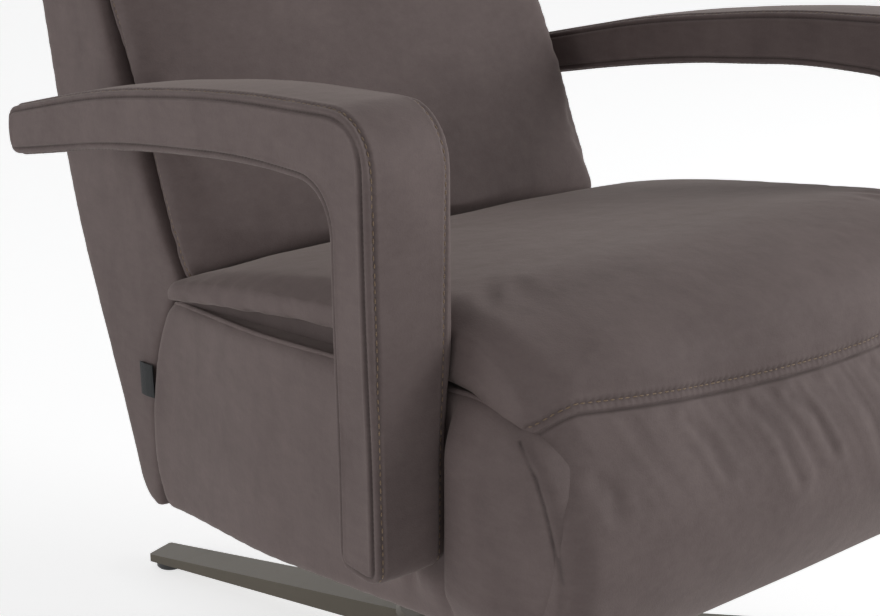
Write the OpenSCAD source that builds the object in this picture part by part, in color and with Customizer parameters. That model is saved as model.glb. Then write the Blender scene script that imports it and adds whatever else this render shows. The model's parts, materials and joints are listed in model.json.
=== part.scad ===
/* [Overall] */
// Height of the top of the back above the floor
chair_h = 1050; // [980:1:1120]
// Distance of the swivel axis behind the middle of the chair
axis_y = 30; // [10:1:50]

/* [Seat carcass] */
// Width of the carcass between the two arms
carcass_w = 540; // [500:1:600]
// How far each side of the carcass draws in towards the back
carcass_draw = 18; // [0:1:30]
// Thickness of a padded side panel
panel_t = 38; // [30:1:46]
// Height of the carcass underside below the back pivot
under_z = 191; // [180:1:200]
// Slope of the carcass underside, rising to the front
under_slope = 8.6; // [6:0.1:10]
// Height of the carcass top edge at its rear corner
top_z = 385; // [375:1:390]
// Slope of the carcass top edge, rising to the front
top_slope = 5.9; // [5:0.1:6.5]
// Rounding of the panel edges
panel_round = 7; // [4:1:10]

/* [Arms] */
// Thickness of an arm from side to side
arm_t = 66; // [56:1:80]
// Width of the arm post seen from the side
post_w = 44; // [36:1:56]
// Height of the front end of the armrest
arm_z = 620; // [600:1:640]
// Height of the lower end of the arm post
post_z = 304; // [290:1:320]
// Height of the underside of the armrest at its front
arm_under_z = 566; // [556:1:575]
// Drop of the armrest from its front to its rear tip
arm_drop = 70; // [50:1:80]
// How far the armrest tip lies behind the middle
arm_tip_y = 211; // [190:1:230]
// Rounding of the arm edges
arm_round = 8; // [4:1:12]

/* [Back] */
// Width of the back shell
back_w = 494; // [460:1:500]
// Thickness of the rear wall of the back shell
shell_t = 20; // [14:1:26]
// Rounding of the rear edges of the shell
shell_round = 16; // [10:1:18]
// Thickness of the back cushion in front of its side seam
back_pad = 28; // [24:1:34]
// Extra crown of the back cushion in the middle
back_crown = 20; // [10:1:24]
// Half the thickness of the headrest
head_r = 33; // [28:1:36]
// Height of the headrest above its pivot
head_h = 140; // [120:1:150]
// Greatest recline of the back
recline_max = 30; // [20:1:32]
// Greatest tilt of the headrest
head_max = 35; // [20:1:35]

/* [Seat and footrest] */
// Height of the front seam of the seat above the floor
seam_z = 420; // [416:1:424]
// Extra crown of the seat cushion in the middle
seat_crown = 10; // [6:1:14]
// Extra crown of the footrest in the middle
foot_crown = 10; // [8:1:16]
// Height of the lower edge of the footrest
foot_low = 254; // [244:1:264]
// Greatest lift of the footrest
foot_max = 80; // [60:1:80]

/* [Drives] */
// Height of the back drive rod above the back pivot
back_arm = 82; // [76:1:88]
// Depth of the footrest drive rod below the footrest pivot
foot_arm = 46; // [42:1:50]
// Radius of a drive rod
rod_r = 9; // [7:0.5:10]
// Radius of the cross pin at the end of a drive rod
cross_pin_r = 5; // [4:0.5:6]

/* [Base] */
// Radius of the star to the end of an arm
star_r = 367; // [340:1:400]
// Number of arms of the star
star_arms = 5; // [4:1:6]
// How far the star stands turned
star_turn = 18; // [0:1:36]
// Width of a star arm at its tip
tip_w = 34; // [28:1:44]
// Width of a star arm at the hub
root_w = 44; // [38:1:60]
// Height of the star arm top at its tip
tip_z = 15.5; // [13:0.5:20]
// Height of the star arm top at the hub
root_z = 46; // [40:1:60]
// Radius of the hub
hub_r = 50; // [44:1:60]
// Height of a glide
glide_h = 7.5; // [5:0.5:9]
// Radius of the swivel column
column_r = 25; // [22:1:30]
// Radius of the swivel spindle
spindle_r = 14; // [12:1:16]

/* [Controls] */
// Height of a button
button_h = 13; // [10:1:14]
// Travel of a button
button_travel = 0.8; // [0.6:0.1:1]

/* [Clearances] */
// Running clearance round a pin
run = 0.05; // [0.03:0.01:0.09]
// Gap between parts that move past each other
gap = 1.5; // [1:0.1:2]

/* [Hidden] */
$fn = 48;

// Pivots as [y, z]: the back, the footrest and the headrest
back_pivot = [116, under_z + 21];
foot_pivot = [-374, seam_z - 10];

// A point of the upper back, given for a back 1050 mm high and moved along its lean with the height
back_lean = 4 / 11;
function upper(y, z) = [y, z] + (chair_h - 1050) * [back_lean, 1];
head_pivot = upper(281, 900);

// Sideways layout, from the panels inwards
side_x = carcass_w / 2;
panel_x = side_x - panel_t;
rail_t = 6;
rail_x = panel_x - rail_t;
wing_t = 7;
wing_x = rail_x - 1 - wing_t;
back_x = back_w / 2;
arm_x = side_x + 0.2;

// Height of the carcass underside and top edge at depth y
function under(y) = under_z + (back_pivot[0] - y) * tan(under_slope);
function top_edge(y) = top_z + (100 - y) * tan(top_slope);

// A unit vector, and a point turned about a pivot in the side view
function unit(v) = v / norm(v);
function polar(r, a) = [r * cos(a), r * sin(a)];

// A closed outline whose corners [y, z, setback, share] become curves of n + 1 points;
// share is how much of the side rounding the corner takes
function curved(corners, n = 4) = [for (i = [0 : len(corners) - 1])
    let (c = corners[i],
         before = corners[(i + len(corners) - 1) % len(corners)],
         after = corners[(i + 1) % len(corners)],
         p = [c[0], c[1]],
         q = p + unit([before[0], before[1]] - p) * c[2],
         r = p + unit([after[0], after[1]] - p) * c[2])
    for (k = [0 : n]) let (t = k / n,
        s = q * (1 - t) * (1 - t) + p * 2 * t * (1 - t) + r * t * t)
        [s[0], s[1], len(c) > 3 ? c[3] : 1]];

// Twice the area of an outline, and the same outline run the other way if it is negative
function area2(p) = let (n = len(p)) [for (i = [0 : n - 1])
    p[i][0] * p[(i + 1) % n][1] - p[(i + 1) % n][0] * p[i][1]] * [for (i = [0 : n - 1]) 1];
function leftward(p) = area2(p) > 0 ? p : [for (i = [len(p) - 1 : -1 : 0]) p[i]];

// Outward direction at each point of an outline that runs leftward
function outward(p) = let (n = len(p)) [for (i = [0 : n - 1])
    let (a = p[(i + n - 1) % n], b = p[(i + 1) % n], t = unit([b[0] - a[0], b[1] - a[1]]))
        [t[1], -t[0]]];

// Triangles that fill an outline running leftward, cut off ear by ear
function turn(a, b, c) = (b[0] - a[0]) * (c[1] - a[1]) - (b[1] - a[1]) * (c[0] - a[0]);
function holds(a, b, c, q) = turn(a, b, q) >= 0 && turn(b, c, q) >= 0 && turn(c, a, q) >= 0;
function is_ear(p, ids, k) = let (n = len(ids), i = ids[(k + n - 1) % n], j = ids[k],
        l = ids[(k + 1) % n])
    turn(p[i], p[j], p[l]) > 0.0001 &&
    len([for (m = ids) if (m != i && m != j && m != l && holds(p[i], p[j], p[l], p[m])) 1]) == 0;
function next_ear(p, ids, k, tries) = tries == 0 || is_ear(p, ids, k) ? k :
    next_ear(p, ids, (k + 1) % len(ids), tries - 1);
function ears(p, ids, k = 0) = len(ids) == 3 ? [ids] :
    let (n = len(ids), e = next_ear(p, ids, k % n, n))
    concat([[ids[(e + n - 1) % n], ids[e], ids[(e + 1) % n]]],
        ears(p, [for (i = [0 : n - 1]) if (i != e) ids[i]], e + 1));

// A solid skin over rings of points that follow each other along x
module skin(rings) {
    n = len(rings[0]);
    m = len(rings);
    walls = [for (i = [0 : m - 2], j = [0 : n - 1])
        let (a = i * n + j, b = i * n + (j + 1) % n)
        each [[a, a + n, b + n], [a, b + n, b]]];
    cap = ears([for (q = rings[0]) [q[1], q[2]]], [for (j = [0 : n - 1]) j]);
    first = [for (t = cap) t];
    last = [for (t = cap) [for (i = [2, 1, 0]) t[i] + (m - 1) * n]];
    polyhedron([for (ring = rings) each ring], concat(first, walls, last), convexity = 8);
}

// Stations [x, inset] across a slab with rounded long edges
function slab_stations(x0, x1, r, n = 3) = concat(
    [for (k = [0 : n]) let (a = 90 - 90 * k / n) [x0 + r - r * sin(a), r * (1 - cos(a))]],
    [for (k = [0 : n]) let (a = 90 * k / n) [x1 - r + r * sin(a), r * (1 - cos(a))]]);

// A slab of the outline between x0 and x1, its long edges rounded by r
module slab(outline, x0, x1, r, n = 3) {
    p = leftward(outline);
    d = outward(p);
    skin([for (s = slab_stations(x0, x1, r, n))
        [for (j = [0 : len(p) - 1]) let (e = s[1] * p[j][2])
            [s[0], p[j][0] - d[j][0] * e, p[j][1] - d[j][1] * e]]]);
}

// A padded form: the outline across the width, crowned in the middle where face(d) says,
// rounded at both ends, and with sides that draw in by pull between its corners
module padded(outline, half, r, crown, pull, face, n = 4, spans = 6) {
    p = leftward(outline);
    d = outward(p);
    ys = [for (q = p) q[0]];
    low = min(ys);
    high = max(ys);
    inner = [for (k = [1 : spans - 1]) [(half - r) * (2 * k / spans - 1), 0]];
    ends = slab_stations(-half, half, r, n);
    stations = concat([for (k = [0 : n]) ends[k]], inner, [for (k = [n + 1 : 2 * n + 1]) ends[k]]);
    skin([for (s = stations)
        let (u = s[0] / half, lift = crown * (1 - u * u))
        [for (j = [0 : len(p) - 1])
            let (v = 2 * (p[j][0] - low) / (high - low) - 1,
                 move = lift * face(d[j]) - s[1] * p[j][2])
            [s[0] * (1 - pull / half * (1 - v * v)),
             p[j][0] + d[j][0] * move, p[j][1] + d[j][1] * move]]]);
}

// A flat plate of the outline [y, z] between x0 and x1
module plate(outline, x0, x1) {
    translate([x0, 0, 0]) rotate([90, 0, 90]) linear_extrude(x1 - x0) polygon(outline);
}

// A rod along x, y or z from its first end
module rod_x(r, x0, x1, at) {
    translate([x0, at[0], at[1]]) rotate([0, 90, 0]) cylinder(r = r, h = x1 - x0);
}
module rod_y(r, y0, y1, x, z) {
    translate([x, y0, z]) rotate([-90, 0, 0]) cylinder(r = r, h = y1 - y0);
}

// A box given by its two corners
module box(a, b) {
    translate(a) cube(b - a);
}

// Puts the swivel axis on the origin
module place() {
    translate([0, -axis_y, 0]) children();
}

// The same piece on both sides
module both() {
    children();
    mirror([1, 0, 0]) children();
}

// Seam between the carcass and the back shell, from the top down, moved back by d; k is the
// share of the side rounding
function seam(d, k) = [[102 + d, top_edge(100) - 1, 14, k], [125 + d, 345, 24, k],
    [140 + d, 268, 24, k], [136 + d, 224, 12, k]];

// Front edge of the carcass and inner edge of the footrest pad, moved forward by d
function front_edge(d) = [[-392 - d, 400, 22], [-409 - d, 330, 28]];

// Outline of a carcass side
carcass_outline = leftward(curved(concat(
    [[back_pivot[0] + 4, under(back_pivot[0]), 9, 0.8]],
    [for (i = [3 : -1 : 0]) seam(0, 1)[i]],
    [[-345, min(top_edge(-345), seam_z + 10), 30]],
    front_edge(0),
    [[-376, under(-376), 16]])));

// How far the outer face of a carcass side draws in at depth y
function draw_in(y) = let (t = min(1, max(0, (y + 90) / 210))) carcass_draw * t * t * (3 - 2 * t);

// A carcass side: flat inside, padded and rounded outside
module carcass_side() {
    p = carcass_outline;
    d = outward(p);
    r = panel_round;
    stations = concat([[panel_x, 0]],
        [for (k = [0 : 3]) let (a = 30 * k) [side_x - r + r * sin(a), r * (1 - cos(a))]]);
    difference() {
        skin([for (s = stations) [for (j = [0 : len(p) - 1])
            let (e = s[1] * p[j][2], y = p[j][0] - d[j][0] * e, z = p[j][1] - d[j][1] * e)
            [s[0] - (s[0] > panel_x ? draw_in(y) : 0), y, z]]]);
        for (z = arm_bolt_z) rod_x(4.3, panel_x - 1, side_x + 1, [arm_bolt_y, z]);
    }
}

// Outline of the back shell side
shell_rear = [[160, under_z - 10, 22, 0.8], [279, 448, 60]];
shell_top = [concat(upper(424, 1050), [26]), concat(upper(366, 1050), [20, 0.6])];
groove = [[214, 632, 80, 0.4], [127, 452, 36, 0.4], [91, 404, 8, 0.3]];
shell_outline = leftward(curved(concat([[back_pivot[0] + 18, under_z - 6, 6, 0.25]], shell_rear,
    shell_top, groove, seam(gap, 0.3), [[back_pivot[0] + 16, under_z + 14, 6, 0.25]])));

// Space inside the shell, open to the front
cavity = [[40, under_z + 7], [149, under_z + 7], [279 - shell_t * 1.1, 448],
    upper(424 - shell_t * 1.1 - 5, 1050 - shell_t), [40, chair_h - shell_t]];

// Side wing of the back, which closes the seam when the back reclines
wing_r = 166;
wing_outline = concat([for (a = [98 : 5 : 128]) back_pivot + polar(wing_r, a)],
    [back_pivot + polar(22, 128), back_pivot + polar(15, 200), back_pivot + polar(15, 270),
     back_pivot + polar(18, 330), [139, 240], [141, 290], [124, 345]]);

pivot_r = 8;
foot_pin_r = 5;
arm_bolt_y = -279;
arm_bolt_z = [322, 346, 370];

// Drive geometry: rod ends at rest, from the travel on both sides of the crank's upright
back_pin_y = back_pivot[0] - back_arm * tan(recline_max / 2);
back_rod_z = back_pivot[1] + back_arm;
foot_pin_y = foot_pivot[0] + foot_arm * tan(foot_max / 2);
foot_rod_z = foot_pivot[1] - foot_arm;
crank_x0 = rod_r + 2;
crank_x1 = crank_x0 + 5;

module base_star() color("dimgray") place() {
    difference() {
        union() {
            translate([0, axis_y, root_z - 30]) cylinder(r = hub_r, h = 32);
            translate([0, axis_y, root_z + 2]) cylinder(r1 = hub_r, r2 = hub_r - 4, h = 4);
            for (k = [0 : star_arms - 1]) translate([0, axis_y, 0])
                rotate([0, 0, 90 + star_turn + k * 360 / star_arms]) intersection() {
                    linear_extrude(root_z + 10) polygon([[20, -root_w / 2], [star_r - 4, -tip_w / 2],
                        [star_r, -tip_w / 2 + 4], [star_r, tip_w / 2 - 4],
                        [star_r - 4, tip_w / 2], [20, root_w / 2]]);
                    translate([0, root_w, 0]) rotate([90, 0, 0]) linear_extrude(2 * root_w)
                        polygon([[20, root_z - 24], [star_r, glide_h], [star_r, tip_z - 1.5],
                            [star_r - 2, tip_z], [20, root_z]]);
                }
        }
        translate([0, axis_y, 0]) cylinder(r = column_r - 3 + run, h = 200);
    }
}

module glide_pads() color("black") place()
    for (k = [0 : star_arms - 1]) translate([0, axis_y, 0])
        rotate([0, 0, 90 + star_turn + k * 360 / star_arms]) translate([star_r - 17, 0, 0]) {
            cylinder(r1 = 13, r2 = 14.5, h = 1.5);
            translate([0, 0, 1.5]) cylinder(r = 14.5, h = glide_h - 1.5);
        }

flange_z = under_z + 10;
washer_t = 2;
sleeve_z = flange_z + washer_t + 0.1;
plate_z = sleeve_z + 21;
plate_t = 5;

module swivel_column() color("dimgray") place() translate([0, axis_y, 0]) {
    translate([0, 0, root_z - 28]) cylinder(r = column_r - 3, h = 34);
    translate([0, 0, root_z + 6]) cylinder(r = column_r, h = flange_z - 5 - root_z - 6);
    translate([0, 0, flange_z - 5]) cylinder(r = column_r + 9, h = 5);
    translate([0, 0, flange_z]) difference() {
        cylinder(r = column_r + 6, h = washer_t);
        translate([0, 0, -1]) cylinder(r = spindle_r + 3, h = washer_t + 2);
    }
    translate([0, 0, flange_z]) cylinder(r = spindle_r, h = plate_z + plate_t + 5 - flange_z);
}

module spindle_ring() color("silver") place() translate([0, axis_y, plate_z + plate_t + 0.2])
    difference() {
        cylinder(r = spindle_r + 7, h = 3);
        translate([0, 0, -1]) cylinder(r = spindle_r, h = 5);
    }

tube_w = 25;
low_tube_y = [-40, 70];
low_tube_z = plate_z + plate_t;
bolt_x = 78;

module swivel_plate() color("silver") place() difference() {
    union() {
        box([-95, low_tube_y[0] - 15, plate_z], [95, low_tube_y[1] + 15, plate_z + plate_t]);
        translate([0, axis_y, sleeve_z]) cylinder(r = spindle_r + 10, h = plate_z - sleeve_z);
    }
    translate([0, axis_y, sleeve_z - 1]) cylinder(r = spindle_r + run, h = 60);
    for (x = [-bolt_x, bolt_x], y = low_tube_y) translate([x, y, plate_z - 1])
        cylinder(r = 4.2, h = plate_t + 2);
}

module plate_bolts() color("silver") place() for (x = [-bolt_x, bolt_x], y = low_tube_y) {
    translate([x, y, plate_z - 5.5]) cylinder(r = 7.5, h = 5.5, $fn = 6);
    translate([x, y, plate_z - 1]) cylinder(r = 4, h = tube_w + plate_t + 1);
    translate([x, y, low_tube_z + tube_w]) cylinder(r = 7.5, h = 6.5, $fn = 6);
}

// Upper cross tubes that carry the seat webbing, as [y, z]
front_tube = [-282, 391];
rear_tube = [-14, 380];
tube_r = 12;

module cross_tubes() color("silver") place() {
    difference() {
        for (y = low_tube_y) box([-rail_x, y - tube_w / 2, low_tube_z],
            [rail_x, y + tube_w / 2, low_tube_z + tube_w]);
        for (x = [-bolt_x, bolt_x], y = low_tube_y) translate([x, y, low_tube_z - 1])
            cylinder(r = 4.2, h = tube_w + 2);
    }
    rod_x(tube_r, -rail_x, rail_x, front_tube);
    rod_x(tube_r, -rail_x, rail_x, rear_tube);
}

// Side plate of the mechanism, from the back pivot to the footrest pivot
rail_outline = [[back_pivot[0], back_pivot[1] - 14], [60, under(60) + 9], [-240, under(-240) + 12],
    [-330, 330], [-380, foot_pivot[1] - 8], [-381, foot_pivot[1] + 4], [-370, foot_pivot[1] + 8],
    [-340, 405], [-20, 394], [14, 366], [back_pivot[0] - 4, back_pivot[1] + 14]];

module rail() color("silver") place() difference() {
    union() {
        plate(rail_outline, rail_x, rail_x + rail_t);
        rod_x(14, rail_x, rail_x + rail_t, back_pivot);
        rod_x(9, rail_x, rail_x + rail_t, foot_pivot);
    }
    rod_x(pivot_r + run, rail_x - 1, rail_x + rail_t + 1, back_pivot);
    rod_x(foot_pin_r, rail_x - 1, rail_x + rail_t + 1, foot_pivot);
    for (z = arm_bolt_z) rod_x(4.3, rail_x - 1, rail_x + rail_t + 1, [arm_bolt_y, z]);
    rod_x(32, rail_x - 1, rail_x + rail_t + 1, [-60, 300]);
    rod_x(32, rail_x - 1, rail_x + rail_t + 1, [-190, 325]);
}
module rail_left() rail();
module rail_right() mirror([1, 0, 0]) rail();

beam_z = low_tube_z + tube_w;
beam_t = 5;
module motor_beam() color("silver") place() {
    box([-34, -240, beam_z], [34, 84, beam_z + beam_t]);
    both() box([34, -240, beam_z], [40, -60, beam_z + 16]);
    both() box([24, -112, beam_z + beam_t], [30, -76, foot_rod_z - 24]);
}

module dust_cover() color("black") place() difference() {
    plate([[92, under(92) + 1], [92, under(92) + 2.4], [-340, under(-340) + 2.4],
        [-340, under(-340) + 1]], -panel_x + 0.3, panel_x - 0.3);
    translate([0, axis_y, 0]) cylinder(r = column_r + 16, h = 400);
}

web_t = 3;
module seat_webbing() color("black") place() for (x = [-160 : 80 : 160])
    plate([[front_tube[0] - 8, front_tube[1] + tube_r + 0.4], [rear_tube[0] + 8, rear_tube[1] + tube_r],
        [rear_tube[0] + 8, rear_tube[1] + tube_r + web_t],
        [front_tube[0] - 8, front_tube[1] + tube_r + 0.4 + web_t]], x - 28, x + 28);

module carcass_left() color("rosybrown") place() carcass_side();
module carcass_right() color("rosybrown") place() mirror([1, 0, 0]) carcass_side();

// Seat cushion: it lies on the carcass, rolls over its front and drops to the back
seat_half = side_x - 2;
seat_outline = curved([[62, 393, 10, 0.9], [60, 415, 10, 0.9], [-20, 438, 60], [-150, 461, 60],
    [-322, 483, 54], [-388, seam_z + 32, 18], [-380, seam_z - 2, 9, 0.7],
    [-340, seam_z + 10, 20], [-160, 437, 60], [-20, 414, 30]]);
seat_core = [[-330, 408], [-4, 397], [44, 382], [58, 392], [52, 402], [-40, 424], [-330, 438]];

module seat_cushion() color("rosybrown") place() {
    padded(seat_outline, seat_half, 7, seat_crown, 3, function(d) max(0, d[1]));
    plate(seat_core, -wing_x + 6, wing_x - 6);
}

// An arm: one bent padded bar, its post fixed to the carcass and its rear end free
post_front = -301;
arm_rise = arm_drop / (arm_tip_y - post_front);
arm_outline = curved([[post_front + post_w, post_z, 12],
    [post_front + post_w + 2, arm_under_z + 1, 34], [-150, arm_under_z, 40],
    [20, arm_under_z - 20, 60], [arm_tip_y - 4, arm_under_z - arm_drop * 0.82, 13],
    [arm_tip_y, arm_z - arm_drop, 15], [47, arm_z - arm_drop * 0.46, 60],
    [-120, arm_z - arm_drop * 0.115, 60], [post_front + 5, arm_z + 2, 42],
    [post_front, post_z, 13]]);

module arm() color("rosybrown") place() difference() {
    slab(arm_outline, arm_x, arm_x + arm_t, arm_round);
    for (z = arm_bolt_z) rod_x(4.3, arm_x - 1, arm_x + 26, [arm_bolt_y, z]);
}
module arm_left() arm();
module arm_right() mirror([1, 0, 0]) arm();

module arm_bolts() color("silver") place() both() for (z = arm_bolt_z) {
    rod_x(7, rail_x - 4, rail_x, [arm_bolt_y, z]);
    rod_x(4, rail_x - 1, arm_x + 24, [arm_bolt_y, z]);
}

module back_shell() color("rosybrown") place() {
    difference() {
        slab(shell_outline, -back_x, back_x, shell_round, 4);
        plate(cavity, -wing_x, wing_x);
        both() rod_x(17, rail_x - 0.5, side_x, back_pivot);
    }
    both() difference() {
        plate(wing_outline, wing_x, wing_x + wing_t);
        rod_x(pivot_r + 0.4, wing_x - 1, wing_x + wing_t + 1, back_pivot);
    }
}

// Frame of the back: two side plates, cross tubes and the crank of the back drive
frame_x = wing_x - 7;
frame_t = 6;
frame_front = [[172, 430], [238, 600], upper(338, 900), upper(350, 940)];
frame_w = 25;
frame_outline = concat([back_pivot + polar(15, 300)],
    [for (p = frame_front) p + [frame_w, -2]],
    [for (i = [3 : -1 : 0]) frame_front[i]],
    [back_pivot + polar(15, 160)]);
frame_tubes = [[190, 440], [262, 638], upper(352, 912)];
slot_r0 = back_arm - 1;
slot_r1 = back_arm / cos(recline_max / 2) + 1;

// Slotted crank plate whose slot runs away from the pivot, from r0 to r1
module crank(pivot, a, r0, r1, slot_w, foot) {
    difference() {
        plate(foot, crank_x0, crank_x1);
        translate([0, pivot[0], pivot[1]]) rotate([a, 0, 0]) {
            rod_x(slot_w / 2, crank_x0 - 1, crank_x1 + 1, [r0, 0]);
            rod_x(slot_w / 2, crank_x0 - 1, crank_x1 + 1, [r1, 0]);
            box([crank_x0 - 1, r0, -slot_w / 2], [crank_x1 + 1, r1, slot_w / 2]);
        }
    }
}

back_slot_w = 2 * (cross_pin_r + 0.5);
back_crank_a = 90 + recline_max / 2;
back_crank = [for (q = [[-8, 13], [60, 13], [98, 9], [98, -9], [60, -13], [-8, -13]])
    back_pivot + polar(q[0], back_crank_a) + polar(q[1], back_crank_a - 90)];

module back_frame() color("silver") place() {
    both() {
        difference() {
            plate(frame_outline, frame_x, frame_x + frame_t);
            for (p = frame_tubes) rod_x(5, frame_x - 1, frame_x + frame_t + 1, p);
        }
        rod_x(15, frame_x, frame_x + frame_t, back_pivot);
        rod_x(pivot_r, frame_x, panel_x - 0.5, back_pivot);
        crank(back_pivot, back_crank_a, slot_r0, slot_r1, back_slot_w, back_crank);
    }
    for (p = frame_tubes) rod_x(9, -frame_x, frame_x, p);
    rod_x(11, -frame_x, frame_x, back_pivot);
}

module back_webbing() color("black") place() for (t = [0.1, 0.35, 0.6, 0.85, 1.2, 1.45, 1.7])
    let (i = floor(t), a = frame_front[i], b = frame_front[i + 1], u = unit(b - a),
         p = a + (b - a) * (t - i), n = [-u[1], u[0]])
    plate([p - u * 20, p + u * 20, p + u * 20 + n * web_t, p - u * 20 + n * web_t],
        -frame_x - frame_t, frame_x + frame_t);

// Back cushion: it fills the front of the shell and crowns forward
back_outline = curved([[90, 402, 7, 0.3], [125, 453, 36, 0.8], [212, 633, 80],
    concat(upper(288, 846), [12]), concat(upper(288 - back_pad, 862), [18]),
    [202 - back_pad, 633, 80], [140 - back_pad, 492, 50], [82, 424, 13, 0.5]]);
back_core = [[98, 402], [162, 406], [frame_front[0][0] - 4.5, 430],
    [frame_front[1][0] - 4.5, 600], upper(314, 842), upper(281, 842), [205, 633], [120, 453]];

module back_cushion() color("rosybrown") place() {
    padded(back_outline, back_x - 4, 8, back_crown, 3, function(d) max(0, -d[0]));
    plate(back_core, -frame_x + 4, frame_x - 4);
}

// Headrest: a pad that turns on a bar held by two brackets of the back frame
head_lean = 20;
function head(a, b) = head_pivot + [a * cos(head_lean) + b * sin(head_lean),
    -a * sin(head_lean) + b * cos(head_lean)];
function head_corner(a, b, s) = [head(a, b)[0], head(a, b)[1], s];
head_outline = curved([head_corner(-head_r, -head_r, head_r - 1),
    head_corner(head_r, -head_r, head_r - 1), head_corner(head_r, head_h, 20),
    head_corner(-head_r, head_h + 6, 26)], 6);
bar_r = 7;
bracket_x = 80;
bracket_t = 5;
bracket_outline = [head_pivot + [0, 12], head_pivot + [-11, 4], head_pivot + [-11, -4],
    head_pivot + [0, -12], upper(338, 896), upper(345, 905), upper(338, 922)];

module headrest_brackets() color("silver") place() both() difference() {
    union() {
        plate(bracket_outline, bracket_x, bracket_x + bracket_t);
        rod_x(12, bracket_x, bracket_x + bracket_t, head_pivot);
    }
    rod_x(bar_r + run, bracket_x - 1, bracket_x + bracket_t + 1, head_pivot);
    rod_x(9.02, bracket_x - 1, bracket_x + bracket_t + 1, frame_tubes[2]);
}

module headrest_bar() color("silver") place() rod_x(bar_r, -150, 150, head_pivot);

module headrest_pad() color("rosybrown") place() difference() {
    padded(head_outline, wing_x - 3, 13, 8, 3, function(d) max(0, -d[0]), 4, 5);
    rod_x(bar_r + 0.3, -151, 151, head_pivot);
    both() box([bracket_x - 2, head_pivot[0] - 15, head_pivot[1] - 70],
        [bracket_x + bracket_t + 2, head_pivot[0] + 70, head_pivot[1] + 34]);
}

board_y = -366;
board_t = 12;
board_top = foot_pivot[1] - 14;
foot_x = rail_x - 1 - 6;
foot_half = foot_x - 3;

module footrest_rod() color("silver") place()
    rod_x(foot_pin_r, -rail_x - rail_t, rail_x + rail_t, foot_pivot);

foot_arm_outline = [[board_y + board_t, 300], [board_y + board_t + 16, 312],
    [board_y + board_t + 16, board_top], foot_pivot + [12, 7], foot_pivot + [2, 8.5],
    foot_pivot + [-7, -6], foot_pivot + [2, -9], [board_y + 2, board_top + 1],
    [board_y + board_t, board_top + 1]];

module footrest_arms() color("silver") place() both() difference() {
    union() {
        plate(foot_arm_outline, foot_x, foot_x + 6);
        rod_x(9, foot_x, foot_x + 6, foot_pivot);
        box([foot_x - 22, board_y + board_t, 300], [foot_x, board_y + board_t + 4, board_top - 6]);
    }
    rod_x(foot_pin_r + run, foot_x - 1, foot_x + 7, foot_pivot);
}

module footrest_board() color("burlywood") place() difference() {
    box([-foot_half, board_y, foot_low + 6], [foot_half, board_y + board_t, board_top]);
    box([-24, board_y - 1, foot_rod_z - 34], [24, board_y + board_t + 1, board_top + 1]);
}

foot_slot_w = 2 * (cross_pin_r + 2.9);
foot_crank_a = -90 + foot_max / 2;
foot_crank = [[board_y + board_t + 4, 336], foot_pivot + polar(foot_arm - 16, foot_crank_a - 4),
    foot_pivot + polar(foot_arm - 8, foot_crank_a + 16),
    foot_pivot + polar(foot_arm + 24, foot_crank_a + 13),
    foot_pivot + polar(foot_arm + 30, foot_crank_a - 6), [board_y + board_t + 18, 304],
    [board_y + board_t + 4, 296]];

module footrest_crank() color("silver") place() {
    both() crank(foot_pivot, foot_crank_a, foot_arm - 0.5,
        foot_arm / cos(foot_max / 2) + 0.5, foot_slot_w, foot_crank);
    box([-crank_x1, board_y + board_t, 292], [crank_x1, board_y + board_t + 4, 328]);
}

foot_outline = curved([[-382, foot_low, 5], [-401, 292, 12], [-411 - gap, 330, 26],
    [-395 - gap, 394, 10, 0.5], [-384, foot_pivot[1] - 8, 4, 0.5],
    [-394, foot_pivot[1] - 12, 5, 0.5], [-407, 387, 12], [-422, 328, 36],
    [-404, foot_low, 16]]);
foot_core = [[board_y, foot_low + 6], [board_y, board_top], [-380, board_top + 2], [-397, 392],
    [-414, 330], [-404, 290], [-386, foot_low + 2]];

module footrest_pad() color("rosybrown") place() difference() {
    union() {
        padded(foot_outline, side_x - 2, 3, foot_crown, 2, function(d) max(0, -d[0]), 3);
        plate(foot_core, -foot_half, foot_half);
    }
    rod_x(12, -side_x, side_x, foot_pivot);
    box([-24, -378, foot_rod_z - 34], [24, board_y + 1, board_top + 20]);
}

// A drive: a tube that the rod slides in, a gear head with feet and a motor across it.
// dir is 1 where the rod points back and -1 where it points forward.
module drive(z, rear, front, tube_rad, dir, foot_z, motor_side) {
    head_y = dir > 0 ? rear : front;
    mouth_y = dir > 0 ? front : rear;
    low = min(head_y, mouth_y);
    high = max(head_y, mouth_y);
    difference() {
        union() {
            rod_y(tube_rad, low, high, 0, z);
            rod_y(tube_rad + 2, mouth_y - (dir > 0 ? 14 : 0), mouth_y + (dir > 0 ? 0 : 14), 0, z);
            box([-23, head_y - (dir > 0 ? 54 : 0), z - 24], [23, head_y + (dir > 0 ? 0 : 54), z + 24]);
            box([-23, head_y - (dir > 0 ? 44 : -10), foot_z],
                [23, head_y + (dir > 0 ? -10 : 44), z - 23]);
            translate([motor_side > 0 ? 23 : -100, head_y - dir * 27, z]) rotate([0, 90, 0])
                cylinder(r = 21, h = 77);
        }
        rod_y(rod_r + run, low - 1 + (dir > 0 ? 20 : 0), high + 1 - (dir > 0 ? 0 : 20), 0, z);
    }
}

// Rod of a drive, with a head and the cross pin that runs in the crank's slots
module drive_rod(z, start, pin_y, dir) {
    reach = abs(pin_y - start);
    translate([0, start, z]) scale([1, dir, 1]) {
        rotate([-90, 0, 0]) cylinder(r = rod_r, h = reach - 8);
        box([-rod_r, reach - 12, -7], [rod_r, reach + 7, 7]);
    }
    rod_x(cross_pin_r, -crank_x1 - 2, crank_x1 + 2, [pin_y, z]);
}

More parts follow.
